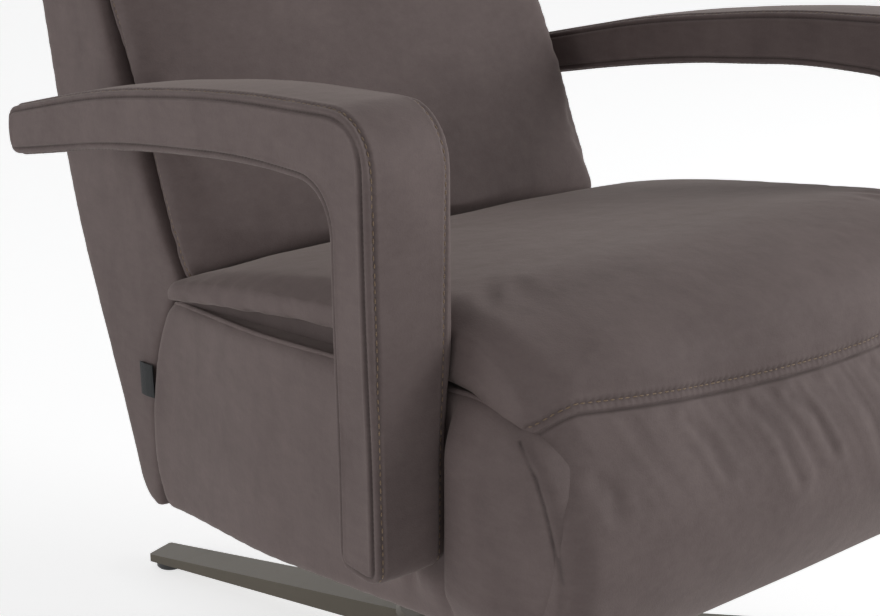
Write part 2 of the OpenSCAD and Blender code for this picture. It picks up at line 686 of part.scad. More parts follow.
module back_motor() color("dimgray") place() {
    drive(back_rod_z, -120, 46, 17, 1, beam_z + beam_t, 1);
    box([-16, 8, beam_z + beam_t], [16, 34, back_rod_z - 14]);
}
module back_rod() color("silver") place() drive_rod(back_rod_z, -70, back_pin_y, 1);
module foot_motor() color("dimgray") place() difference() {
    drive(foot_rod_z, -310, -118, 14, -1, foot_rod_z - 24, -1);
}
module foot_rod() color("silver") place() drive_rod(foot_rod_z, -180, foot_pin_y, -1);

module battery_pack() color("black") place()
    box([rail_x - 86, -200, under(-200) + 16], [rail_x, -70, under(-200) + 62]);
module control_box() color("black") place() difference() {
    box([-rail_x, -200, under(-200) + 16], [-rail_x + 102, -80, under(-200) + 52]);
    for (y = [-180 : 25 : -105])
        box([-rail_x + 20, y, under(-200) + 48], [-rail_x + 82, y + 10, under(-200) + 53]);
}

// Switch panel on the inner face of the left arm post, with four buttons
button_w = 16;
button_pitch = button_h + 4;
panel_y = post_front + post_w / 2;
panel_low = 496;
case_t = 6;
case_wall = 1.5;
function button_z(i) = panel_low + 6 + i * button_pitch;

module switch_panel() color("black") place() difference() {
    box([arm_x - case_t, panel_y - 13, panel_low],
        [arm_x, panel_y + 13, panel_low + 8 + 4 * button_pitch]);
    for (i = [0 : 3]) box([arm_x - case_t - 1, panel_y - button_w / 2 - 0.4, button_z(i) - 0.4],
        [arm_x - case_wall, panel_y + button_w / 2 + 0.4, button_z(i) + button_h + 0.4]);
}

module button(i) color("gray") place() {
    box([arm_x - case_t - 1.2, panel_y - button_w / 2, button_z(i)],
        [arm_x - case_wall - button_travel - 0.2, panel_y + button_w / 2, button_z(i) + button_h]);
}
module button_back_up() button(3);
module button_back_down() button(2);
module button_foot_up() button(1);
module button_foot_down() button(0);

base_star();
glide_pads();
swivel_column();
spindle_ring();
swivel_plate();
plate_bolts();
rail_left();
rail_right();
cross_tubes();
motor_beam();
dust_cover();
seat_webbing();
carcass_left();
carcass_right();
seat_cushion();
arm_left();
arm_right();
arm_bolts();
back_shell();
back_frame();
back_webbing();
back_cushion();
headrest_brackets();
headrest_bar();
headrest_pad();
footrest_rod();
footrest_arms();
footrest_board();
footrest_crank();
footrest_pad();
back_motor();
back_rod();
foot_motor();
foot_rod();
battery_pack();
control_box();
switch_panel();
button_back_up();
button_back_down();
button_foot_up();
button_foot_down();
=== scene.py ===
"""Upholstered swivel recliner on a flat star base: leather, stitching, metal and stage."""

import json
import math

import bmesh
import bpy
from bpy.props import FloatProperty, FloatVectorProperty, IntProperty, PointerProperty
from bpy.types import Operator, Panel, PropertyGroup
from mathutils import Matrix, Vector, noise
from mathutils.bvhtree import BVHTree
from mathutils.kdtree import KDTree


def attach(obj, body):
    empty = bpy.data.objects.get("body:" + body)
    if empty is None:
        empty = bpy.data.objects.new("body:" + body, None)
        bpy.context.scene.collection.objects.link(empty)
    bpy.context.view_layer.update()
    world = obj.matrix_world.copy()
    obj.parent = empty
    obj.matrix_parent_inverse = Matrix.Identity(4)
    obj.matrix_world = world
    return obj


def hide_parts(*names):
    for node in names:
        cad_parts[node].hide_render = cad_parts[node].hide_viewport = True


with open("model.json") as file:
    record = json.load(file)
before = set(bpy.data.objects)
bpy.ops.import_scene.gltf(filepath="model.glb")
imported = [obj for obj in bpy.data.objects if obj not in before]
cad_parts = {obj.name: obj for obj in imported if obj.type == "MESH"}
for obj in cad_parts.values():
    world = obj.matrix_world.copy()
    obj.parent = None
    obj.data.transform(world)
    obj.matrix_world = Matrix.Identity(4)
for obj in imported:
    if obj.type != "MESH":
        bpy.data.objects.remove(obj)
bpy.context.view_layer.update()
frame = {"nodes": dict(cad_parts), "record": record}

bl_info = {
    "name": "Star Base Recliner",
    "version": (1, 0, 0),
    "blender": (4, 5, 0),
    "location": "3D View > Sidebar > Recliner",
    "description": "Upholstery, stitching and finishes of a swivel recliner",
    "category": "Object",
}

MM = 0.001


# Settings

class ReclinerLeather(PropertyGroup):
    """Colours and sewing of the leather."""
    light: FloatVectorProperty(name="Light nap", description="Leather where the nap is brushed up",
                               subtype="COLOR", size=3, min=0, max=1, default=(0.205, 0.159, 0.152))
    dark: FloatVectorProperty(name="Dark nap", description="Leather where the nap lies flat",
                              subtype="COLOR", size=3, min=0, max=1, default=(0.116, 0.086, 0.083))
    thread: FloatVectorProperty(name="Thread", description="Colour of the top stitching",
                                subtype="COLOR", size=3, min=0, max=1, default=(0.36, 0.25, 0.16))
    pitch: FloatProperty(name="Stitch pitch", description="Distance from one stitch to the next",
                         unit="LENGTH", min=0.004, max=0.010, default=0.0056)
    margin: FloatProperty(name="Stitch margin", description="Distance of the top stitching from its seam",
                          unit="LENGTH", min=0.004, max=0.012, default=0.0075)


class ReclinerPadding(PropertyGroup):
    """How full the cushions are."""
    pressure: FloatProperty(name="Pressure", description="Pressure that fills the cushion covers",
                            min=0, max=8, default=3.5)
    seat_cap: FloatProperty(name="Seat swell", description="Most that the seat cover may move out",
                            unit="LENGTH", min=0.001, max=0.03, default=0.002)
    back_cap: FloatProperty(name="Back swell", description="Most that the back cover may move out",
                            unit="LENGTH", min=0.002, max=0.03, default=0.006)
    rounds: IntProperty(name="Simulation frames", description="Frames that the cover is filled for",
                        min=5, max=40, default=16)


class ReclinerStage(PropertyGroup):
    """The photographer's side."""
    lens: FloatProperty(name="Lens", description="Focal length of the camera in millimetres",
                        min=20, max=200, default=71.07)
    key: FloatProperty(name="Key light", description="Power of the large lamp at the front right",
                       min=0, max=400, default=68)
    side: FloatProperty(name="Side light", description="Power of the low lamp at the left",
                        min=0, max=400, default=33)
    ambient: FloatProperty(name="Ambient", description="Strength of the light from all round",
                           min=0, max=2, default=0.18)


# Shader expressions and finishes

class Value:
    """A socket of a material's nodes. Sums and products of values add their Math nodes."""

    def __init__(self, tree, socket):
        self.tree, self.socket = tree, socket

    def _math(self, operation, *values):
        return make(self.tree, "ShaderNodeMath", {"operation": operation}, dict(enumerate(values)))

    def __add__(self, other):
        return self._math("ADD", self, other)

    def __radd__(self, other):
        return self._math("ADD", other, self)

    def __sub__(self, other):
        return self._math("SUBTRACT", self, other)

    def __mul__(self, other):
        return self._math("MULTIPLY", self, other)

    def __rmul__(self, other):
        return self._math("MULTIPLY", other, self)

    def least(self, other):
        return self._math("MINIMUM", self, other)

    def most(self, other):
        return self._math("MAXIMUM", self, other)

    def wave(self):
        return self._math("SINE", self)

    def clamped(self):
        return self.most(0.0).least(1.0)


def make(tree, kind, settings=None, sockets=None, out=0):
    """Adds a node of that type, with its settings first and then its sockets' values or links."""
    made = tree.nodes.new(kind)
    for key, value in (settings or {}).items():
        setattr(made, key, value)
    for key, value in (sockets or {}).items():
        if isinstance(value, Value):
            tree.links.new(value.socket, made.inputs[key])
        else:
            made.inputs[key].default_value = value
    return Value(tree, made.outputs[out])


class Finish:
    """A material with one Principled shader, and the patterns that its finish is made of."""

    def __init__(self, name, **plain):
        self.material = bpy.data.materials.new(name)
        self.material.use_nodes = True
        self.tree = self.material.node_tree
        self.shader = next(n for n in self.tree.nodes if n.type == "BSDF_PRINCIPLED")
        for key, value in plain.items():
            self.shader.inputs[key.replace("_", " ")].default_value = value
        self.place = make(self.tree, "ShaderNodeTexCoord", out=3)

    def noise(self, scale, detail=2.0, rough=0.5, stretch=None):
        where = self.place
        if stretch:
            where = make(self.tree, "ShaderNodeMapping", None, {0: where, 3: stretch})
        return make(self.tree, "ShaderNodeTexNoise", None,
                    {"Vector": where, "Scale": scale, "Detail": detail, "Roughness": rough})

    def cells(self, scale):
        return make(self.tree, "ShaderNodeTexVoronoi", None, {"Vector": self.place, "Scale": scale})

    def mark(self, name):
        return make(self.tree, "ShaderNodeAttribute", {"attribute_name": name}, out=2)

    def axes(self):
        split = make(self.tree, "ShaderNodeSeparateXYZ", None, {0: self.place})
        node = split.socket.node
        return [Value(self.tree, node.outputs[i]) for i in range(3)]

    def mix(self, share, first, second):
        return make(self.tree, "ShaderNodeMix", {"data_type": "RGBA"},
                    {0: share, 6: _colour(first), 7: _colour(second)}, out=2)

    def bump(self, height, strength, distance, under=None):
        sockets = {"Height": height, "Strength": strength, "Distance": distance}
        if under:
            sockets["Normal"] = under
        return make(self.tree, "ShaderNodeBump", None, sockets)

    def wear(self, **links):
        for key, value in links.items():
            name = key.replace("_", " ")
            if isinstance(value, Value):
                self.tree.links.new(value.socket, self.shader.inputs[name])
            else:
                self.shader.inputs[name].default_value = value
        return self.material


def _colour(value):
    """A colour socket's link, or its red, green and blue with an alpha of 1."""
    return value if isinstance(value, Value) else (*value, 1.0)


def times(colour, factor, lift=0.0):
    """A colour made lighter or darker."""
    return tuple(min(1.0, factor * c + lift) for c in colour)


def shown(tree):
    """1 on the rays that show the background, from the camera, a reflection or glass."""
    path = tree.nodes.new("ShaderNodeLightPath")
    camera, glossy, passing = (Value(tree, path.outputs[f"Is {kind} Ray"])
                               for kind in ("Camera", "Glossy", "Transmission"))
    return camera.most(glossy).most(passing)


def nubuck(settings):
    """Soft brushed leather: clouds of lighter and darker nap and fine grain, with painted shade in the
    marked seams and creases, and marked faces made lighter, partly wear and partly painted light.
    """
    f = Finish("nubuck_leather", Roughness=0.74, Sheen_Weight=0.22, Sheen_Roughness=0.45,
               Sheen_Tint=(0.85, 0.76, 0.70, 1.0), Specular_IOR_Level=0.32)
    clouds = f.noise(6.5, 3.0, 0.55)
    brush = f.noise(23.0, 4.0, 0.6, (1.0, 1.6, 0.7))
    strokes = f.noise(95.0, 3.0, 0.6, (1.0, 0.55, 1.6))
    nap = f.noise(620.0, 2.0, 0.6)
    pores = f.cells(980.0)
    lightness = ((clouds - 0.5) * 0.95 + (brush - 0.5) * 0.75 + (strokes - 0.5) * 0.5
                 + (nap - 0.5) * 0.35 + 0.52).clamped()
    colour = f.mix(lightness, settings.dark, settings.light)
    # Painted shade: the marked grooves, seams, folds and lining strips are darkened towards a deep brown.
    groove = f.mark("groove").clamped()
    colour = f.mix(groove * 0.72, colour, times(settings.dark, 0.30))
    # Painted light, partly wear: the marked faces (tops and fronts of seat, arms and footrest, the low
    # carcass, the shell's rear) are made lighter and a little smoother.
    wear_and_light = f.mark("wear_and_light").clamped()
    colour = f.mix(wear_and_light * (0.30 + 0.5 * strokes), colour, times(settings.light, 1.16))
    rough = 0.70 + 0.10 * nap - 0.06 * wear_and_light + 0.08 * groove
    deep = f.bump(f.noise(48.0, 3.0, 0.5), 0.18, 0.004)
    grain = f.bump(pores, 0.16, 0.0006, deep)
    fuzz = f.bump(nap + 0.6 * f.noise(1500.0, 2.0, 0.6), 0.22, 0.0006, grain)
    return f.wear(Base_Color=colour, Roughness=rough, Normal=fuzz)


def sewing_thread(settings):
    """Twisted polyester thread."""
    f = Finish("top_stitch_thread", Roughness=0.55, Sheen_Weight=0.15)
    x, y, z = f.axes()
    ply = ((x + y + z) * 5200.0).wave()
    shade = f.mix((0.5 + 0.35 * ply + 0.5 * (f.noise(300.0) - 0.5)).clamped(),
                  times(settings.thread, 0.62), settings.thread)
    return f.wear(Base_Color=shade, Normal=f.bump(ply, 0.5, 0.0003))


def powder_coat(name, colour, metallic, rough):
    """Baked coating with a fine orange peel and faint rubbing."""
    f = Finish(name, Metallic=metallic, Coat_Weight=0.08, Coat_Roughness=0.3)
    cloud = f.noise(14.0, 3.0)
    peel = f.noise(1100.0, 2.0, 0.5)
    rub = ((f.noise(55.0, 5.0, 0.7) - 0.52) * 5.0).clamped()
    shade = f.mix((0.5 + 0.9 * (cloud - 0.5) + 0.5 * (peel - 0.5)).clamped(),
                  times(colour, 0.86), times(colour, 1.1))
    shade = f.mix(rub * 0.10, shade, times(colour, 1.6, 0.01))
    return f.wear(Base_Color=shade, Roughness=rough + 0.12 * (peel - 0.5) + 0.06 * rub,
                  Normal=f.bump(peel, 0.14, 0.0004))


def drawn_steel(name, colour, rough, stretch):
    """Bare or plated steel with drawing marks along its length."""
    f = Finish(name, Metallic=1.0)
    lines = f.noise(420.0, 3.0, 0.6, stretch)
    stain = f.noise(30.0, 3.0)
    shade = f.mix((0.5 + 0.6 * (lines - 0.5) + 0.7 * (stain - 0.5)).clamped(),
                  times(colour, 0.78), colour)
    return f.wear(Base_Color=shade, Roughness=rough + 0.16 * (lines - 0.5),
                  Normal=f.bump(lines, 0.08, 0.0004))


def moulded_plastic(name, colour, rough=0.5):
    """Moulded plastic with a spark-eroded texture."""
    f = Finish(name, Specular_IOR_Level=0.45)
    spark = f.noise(1700.0, 2.0, 0.6)
    haze = f.noise(40.0, 3.0)
    shade = f.mix((0.5 + 0.8 * (haze - 0.5)).clamped(), times(colour, 0.8), times(colour, 1.2, 0.002))
    return f.wear(Base_Color=shade, Roughness=rough + 0.14 * (spark - 0.5),
                  Normal=f.bump(spark, 0.22, 0.0003))


def woven(name, colour, pitch, rough=0.85, sheen=0.2):
    """Plain weave of flat yarns."""
    f = Finish(name, Sheen_Weight=sheen, Sheen_Roughness=0.5)
    x, y, z = f.axes()
    warp = (x * (math.tau / pitch)).wave()
    weft = ((y + z) * (math.tau / pitch)).wave()
    cloth = 0.5 + 0.25 * (warp + weft)
    shade = f.mix((cloth + 0.4 * (f.noise(90.0, 3.0) - 0.5)).clamped(),
                  times(colour, 0.55), times(colour, 1.25))
    return f.wear(Base_Color=shade, Roughness=rough, Normal=f.bump(cloth, 0.45, 0.0005))


def birch():
    """Plywood face with grain along x."""
    f = Finish("birch_plywood", Roughness=0.6)
    grain = f.noise(46.0, 5.0, 0.6, (0.12, 1.0, 1.0))
    pores = f.noise(480.0, 2.0, 0.6, (0.06, 1.0, 1.0))
    shade = f.mix((0.5 + 0.9 * (grain - 0.5) + 0.4 * (pores - 0.5)).clamped(),
                  (0.42, 0.27, 0.14), (0.66, 0.49, 0.30))
    return f.wear(Base_Color=shade, Normal=f.bump(pores, 0.2, 0.0004))


FINISHES = {}


def finish_of(name):
    """The finish of that name, made when it is first asked for."""
    if name not in FINISHES:
        leather = bpy.context.scene.recliner_leather
        FINISHES[name] = {
            "leather": lambda: nubuck(leather),
            "thread": lambda: sewing_thread(leather),
            "bronze": lambda: powder_coat("satin_bronze_coat", (0.100, 0.086, 0.066), 0.55, 0.42),
            "black_steel": lambda: powder_coat("black_powder_coat", (0.022, 0.022, 0.023), 0.1, 0.46),
            "zinc_steel": lambda: drawn_steel("zinc_plated_steel", (0.60, 0.61, 0.62), 0.33,
                                              (1.0, 1.0, 1.0)),
            "bright_steel": lambda: drawn_steel("bright_drawn_steel", (0.72, 0.72, 0.73), 0.2,
                                                (1.0, 0.05, 1.0)),
            "black_plastic": lambda: moulded_plastic("matt_black_plastic", (0.024, 0.024, 0.025)),
            "motor_plastic": lambda: moulded_plastic("motor_housing_plastic", (0.05, 0.05, 0.053), 0.42),
            "grey_plastic": lambda: moulded_plastic("grey_button_plastic", (0.24, 0.24, 0.245), 0.4),
            "webbing": lambda: woven("elastic_webbing", (0.045, 0.045, 0.05), 0.0022),
            "black_fabric": lambda: woven("dust_cover_fabric", (0.018, 0.018, 0.019), 0.0012, 0.95),
            "tag_ribbon": lambda: woven("tag_ribbon", (0.007, 0.008, 0.009), 0.0007, 0.8, 0.03),
            "plywood": birch,
        }[name]()
    return FINISHES[name]


# Modelling

def linked(name, data):
    """A new object of that mesh, lamp or camera."""
    obj = bpy.data.objects.new(name, data)
    bpy.context.scene.collection.objects.link(obj)
    return obj


def put(bm, name, finish):
    """A new object of the bmesh, with its place in its mesh."""
    mesh = bpy.data.meshes.new(name)
    bm.to_mesh(mesh)
    bm.free()
    obj = linked(name, mesh)
    mesh.materials.append(finish_of(finish))
    for polygon in mesh.polygons:
        polygon.use_smooth = True
    return obj


def bake(obj):
    """Applies the modifiers of an object."""
    graph = bpy.context.evaluated_depsgraph_get()
    shaped = bpy.data.meshes.new_from_object(obj.evaluated_get(graph))
    obj.modifiers.clear()
    worn_out, obj.data = obj.data, shaped
    name = obj.name
    bpy.data.meshes.remove(worn_out)
    shaped.name = name
    for polygon in shaped.polygons:
        polygon.use_smooth = True


def block(name, corners, x0, x1, edge, segments=5):
    """A leather block of the outline (y, z, setback) from x0 to x1, its side edges round; millimetres."""
    bm = bmesh.new()
    verts = [bm.verts.new((x0 * MM, c[0] * MM, c[1] * MM)) for c in corners]
    bm.faces.new(verts)
    for vert, corner in zip(verts, corners):
        if corner[2]:
            bmesh.ops.bevel(bm, geom=[vert], offset=corner[2] * MM, offset_type="OFFSET", segments=8,
                            profile=0.5, affect="VERTICES", material=-1)
    grown = bmesh.ops.extrude_face_region(bm, geom=bm.faces[:])
    far = [g for g in grown["geom"] if isinstance(g, bmesh.types.BMVert)]
    bmesh.ops.translate(bm, verts=far, vec=((x1 - x0) * MM, 0, 0))
    if edge:
        rims = [e for e in bm.edges if abs(e.verts[0].co.x - e.verts[1].co.x) < 1e-6]
        bmesh.ops.bevel(bm, geom=rims, offset=edge * MM, offset_type="OFFSET", segments=segments,
                        profile=0.5, affect="EDGES", clamp_overlap=True, material=-1)
    bmesh.ops.remove_doubles(bm, verts=bm.verts[:], dist=1e-5)
    bmesh.ops.recalc_face_normals(bm, faces=bm.faces[:])
    return put(bm, name, "leather")


def even(obj, voxel, rounds):
    """Gives a closed piece an even mesh and softens what the grid leaves; the voxel in millimetres."""
    remesh = obj.modifiers.new("Even mesh", "REMESH")
    remesh.mode = "VOXEL"
    remesh.voxel_size = voxel * MM
    bake(obj)
    soften(obj, rounds)
    return obj


def soften(obj, rounds):
    """Smooths the mesh, that many times."""
    bm = bmesh.new()
    bm.from_mesh(obj.data)
    for _ in range(rounds):
        bmesh.ops.smooth_vert(bm, verts=bm.verts[:], factor=0.5, use_axis_x=True, use_axis_y=True,
                              use_axis_z=True)
    bm.to_mesh(obj.data)
    bm.free()


def reshape(obj, move):
    """Moves every point to move(place, normal)."""
    normals = [v.normal.copy() for v in obj.data.vertices]
    for vert, normal in zip(obj.data.vertices, normals):
        vert.co = move(vert.co.copy(), normal)
    obj.data.update()


def finer(obj):
    """One subdivision, applied."""
    level = obj.modifiers.new("Subdivision", "SUBSURF")
    level.levels = level.render_levels = 1
    bake(obj)


def fill(obj, cap, held=None):
    """Fills a cover by cloth simulation; no point moves further than cap, in metres."""
    settings = bpy.context.scene.recliner_padding
    start = [v.co.copy() for v in obj.data.vertices]
    if held:
        group = obj.vertex_groups.new(name="held")
        for v in obj.data.vertices:
            weight = held(v.co)
            if weight > 0:
                group.add([v.index], min(1.0, weight), "REPLACE")
    cloth = obj.modifiers.new("Cover", "CLOTH")
    cover = cloth.settings
    cover.quality = 5
    cover.mass = 0.35
    cover.tension_stiffness = cover.compression_stiffness = 22
    cover.shear_stiffness = 10
    cover.bending_stiffness = 3.0
    cover.use_pressure = True
    cover.uniform_pressure_force = settings.pressure
    cover.effector_weights.gravity = 0
    if held:
        cover.vertex_group_mass = "held"
        cover.pin_stiffness = 1.0
    cloth.collision_settings.use_collision = False
    cloth.point_cache.frame_start, cloth.point_cache.frame_end = 1, settings.rounds
    scene = bpy.context.scene
    for number in range(1, settings.rounds + 1):
        scene.frame_set(number)
    bake(obj)
    scene.frame_set(1)
    obj.vertex_groups.clear()
    for vert, before in zip(obj.data.vertices, start):
        step = vert.co - before
        if step.length > cap:
            vert.co = before + step * (cap / step.length)
    obj.data.update()


def along(points, spacing):
    """Points at an even spacing along a line of points, with the line's direction at each."""
    out, left = [], 0.0
    for a, b in zip(points, points[1:]):
        span = (b - a).length
        if span < 1e-9:
            continue
        direction = (b - a) / span
        at = left
        while at < span:
            out.append((a + direction * at, direction))
            at += spacing
        left = at - span
    return out


def near_points(points):
    """A tree that finds the nearest of the points."""
    tree = KDTree(len(points))
    for i, p in enumerate(points):
        tree.insert(p, i)
    tree.balance()
    return tree


def marks_of(obj, name):
    """The values of that attribute at the mesh's points, made when it is first asked for."""
    return obj.data.attributes.get(name) or obj.data.attributes.new(name, "FLOAT", "POINT")


def crease(obj, line, depth, width, lip=0.0, mark=1.0):
    """Draws the surface in along a line, raises a lip beside it and marks the groove for painted shade, as
    strong as mark.
    """
    tree = near_points(line)
    mesh = obj.data
    values = marks_of(obj, "groove")
    normals = [v.normal.copy() for v in mesh.vertices]
    for vert, normal in zip(mesh.vertices, normals):
        _, _, far = tree.find(vert.co)
        if far > 5 * width:
            continue
        near = math.exp(-(far / width) ** 2)
        raised = math.exp(-((far - 2.3 * width) / (1.1 * width)) ** 2)
        vert.co += normal * (lip * raised - depth * near)
        value = values.data[vert.index]
        value.value = max(value.value, mark * math.exp(-(far / (0.9 * width)) ** 2))
    mesh.update()


def refine(obj, lines, reach, spacing):
    """Splits the edges near the lines until none there is longer than spacing."""
    tree = near_points([p for line in lines for p in line])
    bm = bmesh.new()
    bm.from_mesh(obj.data)
    for _ in range(3):
        near = {v for v in bm.verts if tree.find(v.co)[2] < reach}
        long = [e for e in bm.edges if e.verts[0] in near and e.verts[1] in near
                and e.calc_length() > spacing]
        if not long:
            break
        bmesh.ops.subdivide_edges(bm, edges=long, cuts=1, use_grid_fill=True)
    bmesh.ops.triangulate(bm, faces=[f for f in bm.faces if len(f.verts) > 4])
    bm.to_mesh(obj.data)
    bm.free()


def gather(obj, line, pitch, depth, reach):
    """Dimples the cover at each stitch of an evenly spaced line (1 mm from point to point)."""
    tree = near_points(line)

    def dimple(co, normal):
        _, i, far = tree.find(co)
        if far < 3 * reach:
            ripple = 0.5 + 0.5 * math.cos(math.tau * i * MM / pitch)
            co -= normal * depth * ripple * math.exp(-(far / reach) ** 2)
        return co

    reshape(obj, dimple)


def even_line(points):
    """Points along a line, 1 mm apart."""
    return [p for p, _ in along(points, MM)]


def tint(obj, name, amount):
    """Writes an attribute from amount(place, normal)."""
    values = marks_of(obj, name)
    for vert in obj.data.vertices:
        values.data[vert.index].value = amount(vert.co, vert.normal)


def surface_of(obj):
    """A tree that finds the nearest place on the piece's surface."""
    return BVHTree.FromPolygons([v.co for v in obj.data.vertices],
                                [tuple(p.vertices) for p in obj.data.polygons])


def stitches(name, cover, lines, body):
    """Sewn dashes that lie on the cover along the lines."""
    length, thick, batch = 0.0044, 0.00046, 40
    pitch = bpy.context.scene.recliner_leather.pitch
    surface = surface_of(cover)
    bm, few = bmesh.new(), bmesh.new()
    sewn = bpy.data.meshes.new(f"{name}_row")
    for line in lines:
        rows = along(line, pitch)
        for first in range(0, len(rows), batch):
            for place, direction in rows[first:first + batch]:
                spot, normal, _, far = surface.find_nearest(place)
                across = direction.cross(normal)
                if far > 0.02 or across.length < 1e-6:
                    continue
                across.normalize()
                ahead = normal.cross(across).normalized()
                turn = Matrix((ahead, across, normal)).transposed().to_4x4()
                scale = Matrix.Diagonal((length / 2, thick * 1.25, thick * 0.9, 1))
                bmesh.ops.create_uvsphere(few, u_segments=6, v_segments=5, radius=1,
                                          matrix=Matrix.Translation(spot + normal * thick * 0.35)
                                          @ turn @ scale)
            few.to_mesh(sewn)
            bm.from_mesh(sewn)
            few.clear()
    few.free()
    bpy.data.meshes.remove(sewn)
    obj = put(bm, name, "thread")
    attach(obj, body)


def cord_of(name, points, radius, finish, body):
    """A thin welt: a tube swept along the points."""
    bm = bmesh.new()
    rings = []
    for i, p in enumerate(points):
        a, b = points[max(0, i - 1)], points[min(len(points) - 1, i + 1)]
        direction = (b - a).normalized()
        turn = direction.to_track_quat("Z", "Y").to_matrix().to_4x4()
        ring = bmesh.ops.create_circle(bm, segments=10, radius=radius,
                                       matrix=Matrix.Translation(p) @ turn)["verts"]
        rings.append([e for v in ring for e in v.link_edges])
    for one, two in zip(rings, rings[1:]):
        bmesh.ops.bridge_loops(bm, edges=list(set(one)) + list(set(two)))
    bmesh.ops.holes_fill(bm, edges=[e for e in bm.edges if e.is_boundary], sides=0)
    bmesh.ops.recalc_face_normals(bm, faces=bm.faces[:])
    obj = put(bm, name, finish)
    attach(obj, body)


def mirrored(obj, name):
    """A leather copy on the other side of the chair, with the same marks."""
    bm = bmesh.new()
    bm.from_mesh(obj.data)
    bmesh.ops.scale(bm, vec=(-1, 1, 1), verts=bm.verts[:])
    bmesh.ops.reverse_faces(bm, faces=bm.faces[:])
    return put(bm, name, "leather")


def curve_of(corners, closed=True):
    """The outline as places (y, z) in metres, its corners rounded as the block's are."""
    out = []
    n = len(corners)
    for i, c in enumerate(corners):
        p = Vector((c[0], c[1]))
        if not closed and i in (0, n - 1):
            out.append(p * MM)
            continue
        before, after = Vector(corners[i - 1][:2]), Vector(corners[(i + 1) % n][:2])
        q = p + (before - p).normalized() * c[2]
        r = p + (after - p).normalized() * c[2]
        for k in range(ROUND_STEPS + 1):
            t = k / ROUND_STEPS
            out.append((q * (1 - t) ** 2 + p * 2 * t * (1 - t) + r * t * t) * MM)
    if closed:
        out.append(out[0].copy())
    return out


def shrunk(path, inset):
    """A closed path moved inwards, for one that runs either way round."""
    area = sum(a.x * b.y - b.x * a.y for a, b in zip(path, path[1:]))
    sign = 1 if area > 0 else -1
    out, n = [], len(path) - 1
    for i in range(n):
        a, b = path[i - 1 if i else n - 1], path[(i + 1) % n]
        t = (b - a).normalized()
        out.append(path[i] + Vector((-t.y, t.x)) * inset * sign)
    out.append(out[0].copy())
    return out


def line_at(path, x):
    """Places along a path (y, z) at that x, 1 mm apart."""
    return even_line([Vector((x, q.x, q.y)) for q in path])


def ease(t):
    """0 up to 0, 1 from 1 on, and a smooth step between."""
    t = min(1.0, max(0.0, t))
    return t * t * (3 - 2 * t)


# Forms of the covers, as (y, z, setback) in millimetres

SEAM_Y, SEAM_Z = -432.0, 413.5
SEAT_HALF = 267.0
FOOT_HALF = 269.0
BACK_HALF = 243.0
HEAD_HALF = 213.0
ARM_INNER, ARM_OUTER = 266.0, 338.0
CARCASS_INNER, CARCASS_OUTER = 233.0, 270.0
ROUND_STEPS = 10
SEAT = [(56, 393, 8), (51, 413, 11), (-50, 437, 60), (-180, 459, 60), (-352, 481, 56),
        (-437, 449, 32), (-430, 403, 6), (-414, 403, 6), (-372, 424, 20), (-190, 435, 60),
        (-50, 412, 30)]
FOOT = [(-402, 254, 6), (-419, 292, 14), (-430, 330, 22), (-424, 385, 12), (-412, 402, 7),
        (-412, 424, 4), (-429, 424, 5), (-432, 411, 5), (-459, 372, 32), (-459, 300, 38),
        (-430, 254, 15)]
ARM = [(-287, 304, 13), (-285, 567, 34), (-180, 566, 40), (-10, 546, 60), (177, 508.6, 13),
       (182, 550, 16), (17, 588.5, 60), (-150, 612.6, 60), (-326, 623, 44), (-332, 303, 14)]
CARCASS = [(-404, 263, 16), (-441, 330, 30), (-424, 402, 24), (-375, 431, 28), (72, 387, 14),
           (95, 345, 24), (110, 268, 24), (106, 224, 12), (90, 191, 9)]
SHELL = [(104, 185, 4), (130, 181, 22), (249, 448, 60), (394, 1050, 26), (336, 1050, 20),
         (184, 632, 80), (97, 452, 36), (61, 404, 8), (73.5, 384, 12), (96.5, 345, 24),
         (111.5, 268, 24), (107.5, 224, 12), (102, 205, 4)]
BACK = [(60, 399, 5), (95, 453, 36), (182, 633, 80), (258, 846, 12), (240, 858, 14), (160, 633, 80),
        (73, 468, 50), (46, 405, 9)]
GROOVE = [(60, 404, 0), (97, 454, 36), (184, 634, 80), (262, 846, 0)]


def seam_at(x):
    """Place (y, z) of the seam between the seat and the footrest, at that x."""
    t = min(1.0, abs(x) / (CARCASS_OUTER * MM))
    square = ease((t - 0.35) / 0.40) * (1 - ease((t - 0.88) / 0.12))
    y = SEAM_Y + 42 * t * t - 4.7 * ease((t - 0.90) / 0.10) - 13 * square
    z = SEAM_Z + 10.5 * t ** 1.6 - 13 * ease((t - 0.86) / 0.14) + 5 * square
    return y * MM, z * MM


def seam_line(half, ahead=0.0, above=0.0):
    """Places along the front seam, moved forward and up."""
    count = int(half * 500)
    out = []
    for k in range(-count, count + 1):
        x = half * k / count
        y, z = seam_at(x)
        out.append(Vector((x, y - ahead, z + above)))
    return out


def table(rows, at):
    """Straight steps between the rows (place, value)."""
    if at <= rows[0][0]:
        return rows[0][1]
    for (a, u), (b, v) in zip(rows, rows[1:]):
        if at <= b:
            return u + (v - u) * (at - a) / (b - a)
    return rows[-1][1]


def wrinkle(co, across, down, seed, reach):
    """Folds that run down from the front seam and fade within reach."""
    y, z = seam_at(co.x)
    far = math.hypot(co.y - y, co.z - z)
    if far > reach:
        return 0.0
    fade = (1 - far / reach) ** 1.3 * ease(far / 0.006) * (0.45 + 0.55 * ease((co.x + 0.16) / 0.2))
    bend = co.x - 0.40 * far
    wave = noise.noise(Vector((bend * across, far * down, seed)))
    wave += 0.55 * noise.noise(Vector((bend * across * 2.3, far * down * 1.6, seed + 4)))
    return wave * fade


# Operators

